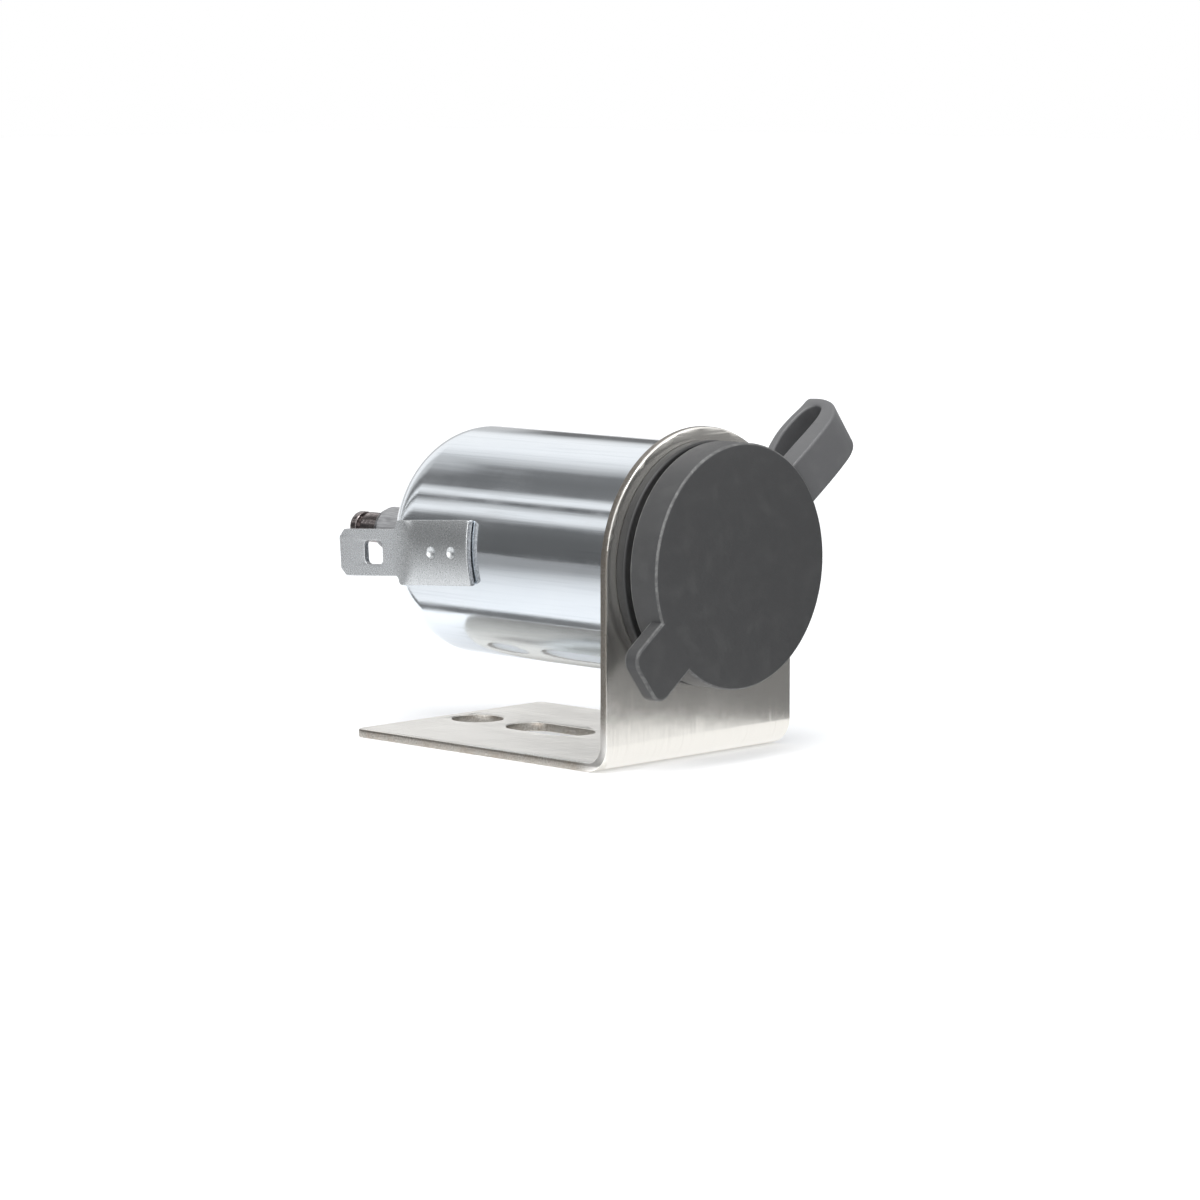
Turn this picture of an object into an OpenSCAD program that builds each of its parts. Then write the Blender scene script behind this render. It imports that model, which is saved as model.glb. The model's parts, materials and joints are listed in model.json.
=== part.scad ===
// Panel socket for a 12 volt car supply, on a folded steel bracket, with a rubber dust cap.
// Millimetres, +Z up. The socket opens towards -Y and its terminals point towards +Y.
// The origin is the centre of the round fixing hole, on the underside of the base.

/* [Bracket] */
// Width of the bracket, and so the diameter of its arched top
bracket_w = 35.4; // [33.5:0.1:42]
// Thickness of the bracket's sheet
sheet_t = 1.2; // [0.8:0.1:2]
// Length of the base, from the bracket's front face to its rear edge
base_l = 47; // [43:0.5:60]
// Height of the socket's axis above the underside of the base
axis_h = 26; // [22:0.5:40]
// Inside radius of the fold
fold_r = 2.5; // [1:0.1:4]
// Radius of the rear corners of the base
corner_r = 1; // [0.5:0.1:3]
// Diameter of the round fixing hole
hole_d = 7; // [4:0.1:7.5]
// Distance from the centre of the round hole to the rear edge of the base
hole_edge = 5.5; // [5:0.1:8]
// Width of the fixing slot
slot_w = 7; // [4:0.1:8]
// Length of the fixing slot, end to end
slot_l = 14; // [10:0.5:16]
// Web of sheet between the round hole and the slot
hole_web = 3.5; // [2:0.1:5]

/* [Clamp shell] */
// Outside diameter of the drawn shell behind the bracket
shell_d = 31; // [28.5:0.1:33]
// Thickness of the shell's wall
shell_wall = 0.8; // [0.5:0.1:1.2]
// Length of the shell, from the bracket to its rear face
shell_l = 44.5; // [42:0.5:52]
// Radius of the shell's rear shoulder
shell_shoulder = 7; // [3:0.1:7.5]

/* [Socket well] */
// Bore of the well that takes the plug
well_bore = 21.4; // [20.5:0.1:22]
// Thickness of the well's wall and flange
well_wall = 0.9; // [0.6:0.1:1.2]
// Diameter of the well's flange
flange_d = 29; // [27:0.1:31]
// Radius of the well's rolled mouth
mouth_r = 1.2; // [1:0.1:1.5]
// How much wider the radius of the well is at its mouth, where the cap's plug sits
seat_step = 0.3; // [0.25:0.05:0.4]
// How far that seat runs on behind the plug's tip
seat_spare = 0.8; // [0.4:0.1:1.5]
// Height of the narrower foot of the well, above its floor
well_foot_h = 4.6; // [3.6:0.1:6]
// How much smaller the radius of that foot is
well_foot_step = 0.9; // [0.5:0.1:1.5]

/* [Rubber cap] */
// Diameter of the cap and of the rubber ring behind it
cap_d = 32; // [31.4:0.1:34]
// Thickness of the cap's disc
cap_t = 4.8; // [4.2:0.1:6]
// Chamfer of the cap's front edge
cap_edge = 0.4; // [0.2:0.1:1]
// Thickness of the rubber ring between flange and bracket
ring_t = 1.5; // [1:0.1:2]
// Length of the plug on the back of the cap
plug_l = 6.5; // [4:0.1:6.8]
// Wall thickness of the hollow plug
plug_wall = 2; // [1.2:0.1:3]
// How much smaller the plug's radius is at its tip
plug_draft = 0.7; // [0.65:0.05:1]
// Reach of the pull tab beyond the cap's rim
tab_reach = 6.4; // [4:0.1:8]
// Width of the pull tab
tab_w = 8.3; // [6:0.1:10]
// Thickness of the pull tab
tab_t = 2.3; // [1.5:0.1:3]
// How far the pull tab's front lies behind the cap's face
tab_set = 0.1; // [0.05:0.05:0.3]
// Corner radius of the pull tab
tab_r = 2; // [1:0.1:2.8]

/* [Cap strap] */
// Angle of the strap round the socket's axis, with the pull tab opposite it
strap_turn = 37; // [0:1:90]
// Width of the strap
strap_w = 6.6; // [5:0.1:8]
// Reach of the strap's loop beyond the cap's rim
strap_reach = 13.4; // [11:0.1:16]
// Thickness of the strap's front leg
strap_t = 3; // [2.4:0.1:3.2]
// How far the strap's front leg lies behind the cap's face
strap_set = 0.7; // [0.4:0.1:0.9]
// Thickness of the rubber at the end of the loop
strap_end_t = 1.7; // [1.4:0.1:3]
// Height of the straight end of the loop, below its rounded front
strap_end_h = 2; // [1.2:0.1:2.5]
// Radius of the rear corner of the loop's end
strap_heel_r = 0.8; // [0.4:0.1:1.1]

/* [Ground terminal] */
// Width of the flat blade
blade_w = 6.3; // [4.8:0.1:6.5]
// Thickness of the terminal's sheet
blade_t = 0.8; // [0.6:0.1:1]
// Length of the narrow blade
blade_l = 11.2; // [8:0.1:14]
// Chamfer of the blade's tip corners
blade_chamfer = 1; // [0.5:0.1:1.5]
// Length of the hole in the blade, along the blade
blade_hole_l = 3.5; // [2:0.1:4]
// Width of the hole in the blade, across the blade
blade_hole_w = 3.2; // [2:0.1:3.6]
// Distance from the centre of the hole to the blade's tip
blade_hole_tip = 6.6; // [4:0.1:7.5]
// Corner radius of the hole in the blade
blade_hole_r = 0.7; // [0.4:0.1:0.9]
// Width of the welded foot
foot_w = 8.7; // [7:0.1:10]
// Length of the welded foot
foot_l = 13.3; // [11:0.1:15]
// Distance from the bracket to the front end of the foot
foot_start = 25.5; // [18:0.5:26]
// Height of the foot's front end above the socket's axis
foot_rise = 0.4; // [-1:0.1:1]
// Angle at which the terminal droops towards its tip
blade_droop = 4; // [0:0.5:6]
// Height of the two weld projections that hold the foot off the shell
weld_lift = 0.2; // [0.1:0.05:0.4]
// Diameter of each weld mark
weld_d = 1.6; // [1:0.1:2]
// Depth of each weld mark
weld_dip = 0.35; // [0.2:0.05:0.5]
// Distance from the foot's front end to the first weld mark
weld_start = 3; // [2:0.1:4]
// Distance between the two weld marks
weld_pitch = 3.8; // [3:0.1:5]
// Length of the flat stretch between the curved foot and the narrow blade
foot_flat = 2; // [1.5:0.1:4]

/* [Rear fixing] */
// Outside diameter of the threaded neck
neck_d = 8; // [7:0.1:9]
// Wall thickness of the threaded neck
neck_wall = 0.75; // [0.6:0.05:0.9]
// Diameter of the collar that holds the neck on the well's floor
collar_d = 14; // [12:0.5:18]
// Thickness of the collar
collar_t = 1.2; // [0.8:0.1:2]
// How far the neck stands out of the nut
neck_over = 0.6; // [0.3:0.1:1.5]
// Diameter of the flat washer
washer_d = 12; // [11.5:0.1:14]
// Thickness of the flat washer
washer_t = 0.8; // [0.5:0.1:1.2]
// Diameter of the spring washer
lock_d = 11; // [10.4:0.1:12]
// Thickness of the spring washer
lock_t = 1; // [0.6:0.1:1.4]
// Width of the split in the spring washer
lock_split = 0.8; // [0.5:0.1:1.2]
// Size of the clamp nut across its flats
nut_flats = 10.6; // [10.2:0.1:12]
// Thickness of the clamp nut
nut_t = 2.4; // [1.8:0.1:4]

/* [Centre terminal] */
// Diameter of the pin's shank
pin_d = 4; // [3.5:0.1:4.4]
// Diameter of the pin's bullet end
bullet_d = 4.2; // [3.6:0.1:4.4]
// Length of the body of the bullet end
bullet_l = 3.2; // [2.5:0.1:5]
// Length of the pin's waist, between the sleeve and the bullet end
waist_l = 1.9; // [1.6:0.1:4]
// Diameter of the pin's waist and of the groove behind its nose
waist_d = 3.1; // [2.8:0.1:3.3]
// Width of the groove behind the nose
groove_l = 0.5; // [0.4:0.1:1.5]
// Length of the nose
nose_l = 1; // [0.9:0.1:3]
// Radius of the nose's edge
nose_r = 0.7; // [0.4:0.1:0.8]
// How far the insulating sleeve stands out behind the shell
sleeve_out = 12.8; // [8:0.1:15]
// Chamfer of the sleeve's rear edge
sleeve_chamfer = 0.6; // [0.3:0.1:0.7]
// Thickness of the insulating disc on the well's floor
disc_t = 1.6; // [1:0.1:2.5]
// Diameter of the contact button in the well
button_d = 10; // [8:0.1:13]
// Height of the button's straight rim
button_rim = 0.7; // [0.4:0.1:1]
// Height of the button's dome
button_dome = 1.1; // [0.8:0.1:1.5]
// Outside diameter of the clip that holds the pin
clip_d = 5.6; // [5:0.1:6]
// Thickness of the clip
clip_t = 0.6; // [0.4:0.1:0.8]
// Width of the clip's mouth
clip_mouth = 2.6; // [2:0.1:2.7]

/* [Clearances] */
// Room between the neck's collar and the shell's rear wall
rear_room = 7.2; // [5:0.1:10]
// Radial clearance where one rigid piece passes through another
pass_clear = 0.1; // [0.05:0.05:0.2]
// Radial clearance of the well in the bracket and in the rubber ring
panel_clear = 0.2; // [0.1:0.05:0.4]
// Radial clearance of the rubber plug at the mouth of the well
plug_clear = 0.1; // [0.1:0.05:0.2]
// Gap between the strap's end and the cap's rim
strap_clear = 0.1; // [0.05:0.05:0.2]

/* [Hidden] */
$fn = 96;

// Cutters run this far past the faces they cut.
over = 1;

// Positions along the socket's axis are heights above the bracket's front face, positive
// towards the plug.
bracket_back = -sheet_t;
shell_back = bracket_back - shell_l;
well_front = ring_t + well_wall;
well_back = shell_back + shell_wall + rear_room + collar_t;
well_floor = well_back + well_wall;
well_shoulder = well_floor + well_foot_h;
seat_end = well_front - plug_l - seat_spare;
bore_front = seat_end - seat_step;
cap_face = well_front + cap_t;
washer_back = shell_back - washer_t;
lock_back = washer_back - lock_t;
nut_back = lock_back - nut_t;
neck_back = nut_back - neck_over;
disc_front = well_floor + disc_t;
sleeve_back = shell_back - sleeve_out;
waist_back = sleeve_back - waist_l;
bullet_back = waist_back - bullet_l;
groove_back = bullet_back - groove_l;
pin_back = groove_back - nose_l;

// Radii
arch_r = bracket_w / 2;
fold_out = fold_r + sheet_t;
well_r = well_bore / 2;
well_out = well_r + well_wall;
well_foot_r = well_r - well_foot_step;
seat_r = well_r + seat_step;
seat_out = seat_r + well_wall;
panel_r = seat_out + panel_clear;
shell_r = shell_d / 2;
cap_r = cap_d / 2;
neck_r = neck_d / 2;
neck_bore = neck_r - neck_wall;
neck_pass = neck_r + pass_clear;
sleeve_r = neck_bore - pass_clear;
pin_r = pin_d / 2;
pin_pass = pin_r + pass_clear;
sleeve_edge = min(sleeve_chamfer, (sleeve_r - pin_pass) / 2);
plug_r = seat_r - plug_clear;

// The round fixing hole is at the origin, so the bracket's front face lies this far forward.
plate_y = hole_edge - base_l;
slot_y = -(hole_d / 2 + hole_web + slot_l / 2);

// Stands a piece that is modelled along +Z on the socket's axis. Its +Z then points forwards,
// its +X stays and its +Y points up.
module on_axis() {
    translate([0, plate_y, axis_h]) rotate([90, 0, 0]) children();
}

// Half section of a plain ring, from radius r1 to r2 and from height s1 to s2
module band(r1, r2, s1, s2) {
    translate([r1, s1]) square([r2 - r1, s2 - s1]);
}

// Half section of a disc from height s1 to s2, with its edge at s1 rounded
module rounded_band(r, s1, s2, edge) {
    band(0, r - edge, s1, s2);
    band(0, r, s1 + edge, s2);
    intersection() {
        translate([r - edge, s1 + edge]) circle(edge);
        band(r - edge, r, s1, s2);
    }
}

module rounded_rectangle(l, w, r) {
    square([l - 2 * r, w], center = true);
    square([l, w - 2 * r], center = true);
    for (x = [-1, 1], y = [-1, 1])
        translate([x * (l / 2 - r), y * (w / 2 - r)]) circle(r);
}

module slot_outline(l, w) {
    square([w, l - w], center = true);
    for (end = [-1, 1]) translate([0, end * (l - w) / 2]) circle(d = w);
}

// Side view of the folded sheet, front face at x = 0
module fold_profile() {
    translate([0, fold_out]) square([sheet_t, axis_h + arch_r - fold_out]);
    translate([fold_out, 0]) square([base_l - fold_out, sheet_t]);
    intersection() {
        translate([fold_out, fold_out]) difference() {
            circle(fold_out);
            circle(fold_r);
        }
        square(fold_out);
    }
}

// Front view of the bracket, with its arched top
module arch_outline() {
    translate([-arch_r, 0]) square([bracket_w, axis_h]);
    translate([0, axis_h]) circle(arch_r);
}

// Plan of the bracket, with its rounded rear corners
module base_outline() {
    translate([-arch_r, 0]) square([bracket_w, base_l - corner_r]);
    translate([corner_r - arch_r, 0]) square([bracket_w - 2 * corner_r, base_l]);
    for (side = [-1, 1])
        translate([side * (arch_r - corner_r), base_l - corner_r]) circle(corner_r);
}

module bracket() {
    color("#b9b3aa") difference() {
        translate([0, plate_y, 0]) intersection() {
            rotate([90, 0, 90]) linear_extrude(bracket_w, center = true) fold_profile();
            translate([0, base_l, 0]) rotate([90, 0, 0]) linear_extrude(base_l) arch_outline();
            linear_extrude(axis_h + arch_r) base_outline();
        }
        on_axis() translate([0, 0, bracket_back - over]) cylinder(r = panel_r, h = sheet_t + 2 * over);
        translate([0, 0, -over]) {
            cylinder(d = hole_d, h = sheet_t + 2 * over);
            translate([0, slot_y, 0]) linear_extrude(sheet_t + 2 * over) slot_outline(slot_l, slot_w);
        }
    }
}

// Drawn shell: its open rim bears on the bracket and its rear wall is held by the clamp nut.
module clamp_shell() {
    color("#cdd6dd") on_axis() rotate_extrude() difference() {
        rounded_band(shell_r, shell_back, bracket_back, shell_shoulder);
        rounded_band(shell_r - shell_wall, shell_back + shell_wall, bracket_back + over,
            shell_shoulder - shell_wall);
        band(0, neck_pass, shell_back - over, shell_back + over);
    }
}

// Drawn well: flat flange, rolled mouth, seat for the plug, bore, narrower foot, and a floor
// pierced for the neck
module socket_well() {
    color("#c9cccf") on_axis() rotate_extrude() {
        band(seat_r + mouth_r, flange_d / 2, ring_t, well_front);
        intersection() {
            translate([seat_r + mouth_r, well_front - mouth_r]) circle(mouth_r);
            union() {
                band(seat_r, seat_out, well_front - mouth_r, well_front);
                band(seat_r, seat_r + mouth_r, ring_t, well_front);
            }
        }
        band(seat_r, seat_out, seat_end, well_front - mouth_r);
        polygon([
            [well_r, bore_front], [well_out, bore_front], [seat_out, seat_end], [seat_r, seat_end]
        ]);
        band(well_r, well_out, well_shoulder, bore_front);
        band(well_foot_r, well_out, well_shoulder - well_wall, well_shoulder);
        band(well_foot_r, well_foot_r + well_wall, well_back, well_shoulder);
        band(neck_r, well_foot_r + well_wall, well_back, well_floor);
    }
}

// Outline of the ground terminal between two distances from the foot's front end, with the
// foot first and the blade along +x. Each step down to the blade is a corner and a fillet.
module terminal_outline(from, to) {
    tip = foot_l + blade_l;
    half = blade_w / 2;
    turn_r = (foot_w - blade_w) / 4;
    intersection() {
        difference() {
            union() {
                translate([0, -foot_w / 2]) square([foot_l - turn_r, foot_w]);
                translate([0, turn_r - foot_w / 2]) square([foot_l, foot_w - 2 * turn_r]);
                polygon([
                    [foot_l - over, -half], [tip - blade_chamfer, -half],
                    [tip, blade_chamfer - half], [tip, half - blade_chamfer],
                    [tip - blade_chamfer, half], [foot_l - over, half]
                ]);
                for (side = [-1, 1]) {
                    translate([foot_l - turn_r, side * (foot_w / 2 - turn_r)]) circle(turn_r);
                    difference() {
                        translate([foot_l, side * half]) square(2 * turn_r, center = true);
                        translate([foot_l + turn_r, side * (half + turn_r)]) circle(turn_r);
                    }
                }
            }
            translate([tip - blade_hole_tip, 0])
                rounded_rectangle(blade_hole_l, blade_hole_w, blade_hole_r);
        }
        translate([from, -foot_w]) square([to - from, 2 * foot_w]);
    }
}

// Frame of the ground terminal, at a given distance from the socket's axis: +x runs along the
// blade from the foot's front end, +y up, and +z towards the axis
module terminal_frame(distance) {
    translate([-distance, 0, foot_rise]) rotate([-blade_droop, 0, 0]) rotate([90, 0, 90]) children();
}

// Stamped terminal. Its foot is curved round the shell and stands on two weld projections.
module ground_terminal() {
    inner = shell_r + weld_lift;
    outer = inner + blade_t;
    flat_start = foot_l - foot_flat;
    dip_r = (weld_d * weld_d / 4 + weld_dip * weld_dip) / (2 * weld_dip);
    color("#b4b8ba") translate([0, plate_y + sheet_t + foot_start, axis_h]) difference() {
        union() {
            intersection() {
                rotate([-90, 0, 0]) translate([0, 0, -over]) difference() {
                    cylinder(r = outer, h = foot_l + 2 * over);
                    translate([0, 0, -over]) cylinder(r = inner, h = foot_l + 4 * over);
                }
                terminal_frame(outer + over) linear_extrude(shell_r)
                    terminal_outline(0, flat_start + over);
            }
            terminal_frame(outer) linear_extrude(blade_t)
                terminal_outline(flat_start, foot_l + blade_l);
            terminal_frame(outer - blade_t / 2) for (mark = [0, 1])
                translate([weld_start + mark * weld_pitch, 0, 0])
                    cylinder(d = weld_d, h = blade_t / 2 + weld_lift);
        }
        terminal_frame(outer + dip_r - weld_dip) for (mark = [0, 1])
            translate([weld_start + mark * weld_pitch, 0, 0]) sphere(dip_r);
    }
}

// Rubber ring that the flange clamps against the bracket
module strap_ring() {
    color("#3c3d3e") on_axis() rotate_extrude() band(panel_r, cap_r, 0, ring_t);
}

// Side view of the folded strap: x outwards from the axis, y forwards. The end of its loop has
// a small rear corner and a large rounded front.
module strap_profile() {
    front = cap_face - strap_set;
    end = cap_r + strap_reach;
    nose_r = front - strap_end_h;
    gap_r = (front - strap_t - ring_t) / 2;
    gap_x = end - strap_end_t - gap_r;
    difference() {
        union() {
            square([end - nose_r, front]);
            square([end - strap_heel_r, strap_end_h]);
            translate([0, strap_heel_r]) square([end, strap_end_h - strap_heel_r]);
            translate([end - strap_heel_r, strap_heel_r]) circle(strap_heel_r);
            intersection() {
                translate([end - nose_r, strap_end_h]) circle(nose_r);
                translate([end - nose_r, strap_end_h]) square(nose_r);
            }
        }
        translate([0, ring_t]) square([gap_x, 2 * gap_r]);
        translate([gap_x, ring_t + gap_r]) circle(gap_r);
    }
}

module cap_strap() {
    color("#4a4b4c") on_axis() difference() {
        rotate([0, 0, strap_turn]) rotate([90, 0, 0])
            linear_extrude(strap_w, center = true) strap_profile();
        translate([0, 0, -over]) cylinder(r = cap_r, h = ring_t + 2 * over);
        translate([0, 0, ring_t]) cylinder(r = cap_r + strap_clear, h = cap_face);
    }
}

// Rubber cap with a hollow drafted plug and a pull tab
module dust_cap() {
    tab_end = cap_r + tab_reach;
    color("#4a4b4c") on_axis() {
        rotate_extrude() {
            polygon([
                [0, well_front], [cap_r, well_front], [cap_r, cap_face - cap_edge],
                [cap_r - cap_edge, cap_face], [0, cap_face]
            ]);
            polygon([
                [plug_r, well_front + over], [plug_r, well_front],
                [plug_r - plug_draft, well_front - plug_l],
                [plug_r - plug_draft - plug_wall, well_front - plug_l],
                [plug_r - plug_wall, well_front + over]
            ]);
        }
        rotate([0, 0, strap_turn + 180]) translate([0, 0, cap_face - tab_set - tab_t])
            linear_extrude(tab_t) {
                translate([0, -tab_w / 2]) square([tab_end - tab_r, tab_w]);
                translate([0, tab_r - tab_w / 2]) square([tab_end, tab_w - 2 * tab_r]);
                for (side = [-1, 1])
                    translate([tab_end - tab_r, side * (tab_w / 2 - tab_r)]) circle(tab_r);
            }
    }
}

// Neck that is fixed in the well's floor and carries the clamp nut. Its thread is left plain.
module threaded_neck() {
    color("#a9adb0") on_axis() rotate_extrude() {
        band(neck_bore, neck_r, neck_back, well_floor);
        band(neck_bore, collar_d / 2, well_back - collar_t, well_back);
    }
}

module flat_washer() {
    color("#c4c8ca") on_axis() rotate_extrude() band(neck_pass, washer_d / 2, washer_back, shell_back);
}

module lock_washer() {
    color("#8e9294") on_axis() difference() {
        rotate_extrude() band(neck_pass, lock_d / 2, lock_back, washer_back);
        translate([0, 0, lock_back - over]) rotate([0, 0, 100])
            translate([0, -lock_split / 2, 0]) cube([lock_d, lock_split, lock_t + 2 * over]);
    }
}

// Hexagonal nut with both faces chamfered
module clamp_nut() {
    corner = nut_flats / sqrt(3);
    slope = corner - nut_flats / 2;
    color("#b6babc") on_axis() difference() {
        intersection() {
            translate([0, 0, nut_back]) rotate([0, 0, 30]) cylinder(r = corner, h = nut_t, $fn = 6);
            rotate_extrude() polygon([
                [0, nut_back], [nut_flats / 2, nut_back], [corner, nut_back + slope / 2],
                [corner, lock_back - slope / 2], [nut_flats / 2, lock_back], [0, lock_back]
            ]);
        }
        translate([0, 0, nut_back - over]) cylinder(r = neck_r, h = nut_t + 2 * over);
    }
}

// Insulating disc that covers the floor of the well
module front_insulator() {
    color("#7a4a2c") on_axis() rotate_extrude()
        band(pin_pass, well_foot_r - pass_clear, well_floor, disc_front);
}

// Insulating sleeve that runs through the neck and stands out behind it
module insulating_sleeve() {
    color("#b8babb") on_axis() rotate_extrude() polygon([
        [pin_pass, well_floor], [sleeve_r, well_floor], [sleeve_r, sleeve_back + sleeve_edge],
        [sleeve_r - sleeve_edge, sleeve_back], [pin_pass, sleeve_back]
    ]);
}

// Domed contact button that is riveted on the front end of the pin
module centre_contact() {
    half = button_d / 2;
    dome_r = (half * half + button_dome * button_dome) / (2 * button_dome);
    rim = disc_front + button_rim;
    color("#cfd2d4") on_axis() rotate_extrude() difference() {
        union() {
            band(0, half, disc_front, rim);
            intersection() {
                translate([0, rim + button_dome - dome_r]) circle(dome_r);
                band(0, half, rim, rim + button_dome);
            }
        }
        band(0, pin_r, disc_front - over, rim);
    }
}

// Turned pin: shank, waist for the clip, taper up to the bullet end, groove and rounded nose
module terminal_pin() {
    bullet_r = bullet_d / 2;
    waist_r = waist_d / 2;
    clip_back = sleeve_back - clip_t;
    color("#6b5644") on_axis() rotate_extrude() {
        band(0, pin_r, sleeve_back, disc_front + button_rim);
        band(0, waist_r, pin_back + nose_r, sleeve_back + over);
        polygon([
            [0, bullet_back], [bullet_r, bullet_back], [bullet_r, waist_back],
            [waist_r, clip_back], [0, clip_back]
        ]);
        rounded_band(bullet_r, pin_back, groove_back, nose_r);
    }
}

// Open clip in the pin's waist, against the end of the sleeve
module pin_clip() {
    color("#8a8d8f") on_axis() difference() {
        rotate_extrude() band(waist_d / 2, clip_d / 2, sleeve_back - clip_t, sleeve_back);
        translate([0, -clip_mouth / 2, sleeve_back - clip_t - over])
            cube([clip_d, clip_mouth, clip_t + 2 * over]);
    }
}

bracket();
clamp_shell();
socket_well();
ground_terminal();
strap_ring();
cap_strap();
dust_cap();
threaded_neck();
flat_washer();
lock_washer();
clamp_nut();
front_insulator();
insulating_sleeve();
centre_contact();
terminal_pin();
pin_clip();
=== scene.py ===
import json
from math import acos, cos, degrees, hypot, pi, radians, sin, sqrt, tan

import bmesh
import bpy
from mathutils import Matrix, Vector


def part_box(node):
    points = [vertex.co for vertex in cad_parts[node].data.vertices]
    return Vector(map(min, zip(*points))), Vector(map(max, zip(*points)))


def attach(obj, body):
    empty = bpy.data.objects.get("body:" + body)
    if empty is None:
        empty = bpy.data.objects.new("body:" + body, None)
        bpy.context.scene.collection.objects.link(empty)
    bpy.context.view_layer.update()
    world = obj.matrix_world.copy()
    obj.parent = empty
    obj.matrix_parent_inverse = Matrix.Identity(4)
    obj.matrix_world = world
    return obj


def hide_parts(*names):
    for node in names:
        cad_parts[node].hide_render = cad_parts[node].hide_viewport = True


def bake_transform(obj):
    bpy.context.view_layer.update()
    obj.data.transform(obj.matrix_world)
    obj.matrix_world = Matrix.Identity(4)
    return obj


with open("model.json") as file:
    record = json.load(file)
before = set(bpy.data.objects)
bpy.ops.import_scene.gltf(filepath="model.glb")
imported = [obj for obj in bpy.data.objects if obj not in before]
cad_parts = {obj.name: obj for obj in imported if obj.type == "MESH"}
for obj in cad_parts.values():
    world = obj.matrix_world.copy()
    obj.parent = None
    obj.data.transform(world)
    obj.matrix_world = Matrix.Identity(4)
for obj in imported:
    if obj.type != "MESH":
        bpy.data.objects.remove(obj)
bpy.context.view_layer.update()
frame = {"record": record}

# A 12 volt power socket on a folded steel bracket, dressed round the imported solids.
# Pieces are built in millimetres in the frame of the solids and scaled to metres at the end.
# A place along the socket's axis is a distance s in front of the bracket's front face.
MM = 0.001


def node_box(node):
    """Lowest and highest corner of a solid, in millimetres."""
    low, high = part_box(node)
    return low / MM, high / MM


def mount(name):
    """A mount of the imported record."""
    return next(m for m in frame["record"]["mounts"] if m["name"] == name)


# Sizes read from the solids

BRACKET_LOW, BRACKET_HIGH = node_box("bracket")
SHELL_LOW, SHELL_HIGH = node_box("clamp_shell")
WELL_LOW, WELL_HIGH = node_box("socket_well")
RING_LOW, RING_HIGH = node_box("strap_ring")
CAP_LOW, _ = node_box("dust_cap")
SLEEVE_LOW, SLEEVE_HIGH = node_box("insulating_sleeve")
PIN_LOW, PIN_HIGH = node_box("terminal_pin")
NUT_LOW, NUT_HIGH = node_box("clamp_nut")
NECK_LOW, NECK_HIGH = node_box("threaded_neck")
WASHER_LOW, WASHER_HIGH = node_box("flat_washer")
LOCK_LOW, LOCK_HIGH = node_box("lock_washer")
CLIP_LOW, CLIP_HIGH = node_box("pin_clip")
DISC_LOW, DISC_HIGH = node_box("front_insulator")
BUTTON_LOW, BUTTON_HIGH = node_box("centre_contact")

PLATE_Y = BRACKET_LOW.y
AXIS_Z = (SHELL_LOW.z + SHELL_HIGH.z) / 2
ARCH_R = BRACKET_HIGH.x
SHELL_R = SHELL_HIGH.x
RING_R = RING_HIGH.x
RING_FRONT = PLATE_Y - RING_LOW.y
CAP_FACE = PLATE_Y - CAP_LOW.y
WELL_FRONT = PLATE_Y - WELL_LOW.y
WELL_R = mount("socket_bore")["dims"]["r_mm"]
HOLE_R = mount("base_hole")["dims"]["r_mm"]
PIN_R = mount("terminal_pin")["dims"]["r_mm"]
SLOT_Y = mount("base_slot")["pos_m"][1] / MM

# Sizes that the solids share with this scene

SHEET = 1.2
FOLD_R = 2.5
CORNER_R = 1.0
SLOT_W = 7.0
SLOT_L = 14.0
SHELL_WALL = 0.8
SHOULDER_R = 7.0
WELL_WALL = 0.9
WELL_MOUTH_R = 1.2
SEAT_R = WELL_R + 0.3
PANEL_R = SEAT_R + WELL_WALL + 0.2
WELL_FOOT_STEP = 0.9
WELL_FOOT_H = 4.6
STRAP_TURN = 37.0
STRAP_W = 6.6
PLUG_L, PLUG_DRAFT, PLUG_WALL = 6.5, 0.7, 2.0
BLADE_T = 0.8
WELD_LIFT = 0.2
NECK_HOLE_R = 4.1
PIN_HOLE_R = 2.1

# Corners of a square, in turn
SQUARE = ((-1, -1), (1, -1), (1, 1), (-1, 1))
# Points closer than this, in mm, are one point
MERGE = 1e-4


def along(y):
    """Distance s in front of the bracket's front face, from a world Y."""
    return PLATE_Y - y


ON_AXIS = Matrix.Translation((0, PLATE_Y, AXIS_Z)) @ Matrix.Rotation(radians(90), 4, "X")
STRAP_FRAME = ON_AXIS @ Matrix.Rotation(radians(STRAP_TURN), 4, "Z")


# Camera

CAMERA_AT = (-432.64, -441.07, 93.49)
CAMERA_AZIMUTH = -46.0
CAMERA_ELEVATION = 7.012
CAMERA_LENS, CAMERA_SENSOR = 136.7, 36


def make_camera():
    """Camera at the photograph's viewpoint, as solved from outlines of the real object."""
    data = bpy.data.cameras.new("camera")
    data.lens = CAMERA_LENS
    data.sensor_width = CAMERA_SENSOR
    data.clip_start, data.clip_end = 0.01, 20
    camera = bpy.data.objects.new("camera", data)
    a, e = radians(CAMERA_AZIMUTH), radians(CAMERA_ELEVATION)
    towards_camera = Vector((sin(a) * cos(e), -cos(a) * cos(e), sin(e)))
    camera.location = Vector(CAMERA_AT) * MM
    camera.rotation_mode = "QUATERNION"
    camera.rotation_quaternion = (-towards_camera).to_track_quat("-Z", "Y")
    bpy.context.scene.collection.objects.link(camera)
    bpy.context.scene.camera = camera


# Node graphs


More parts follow.
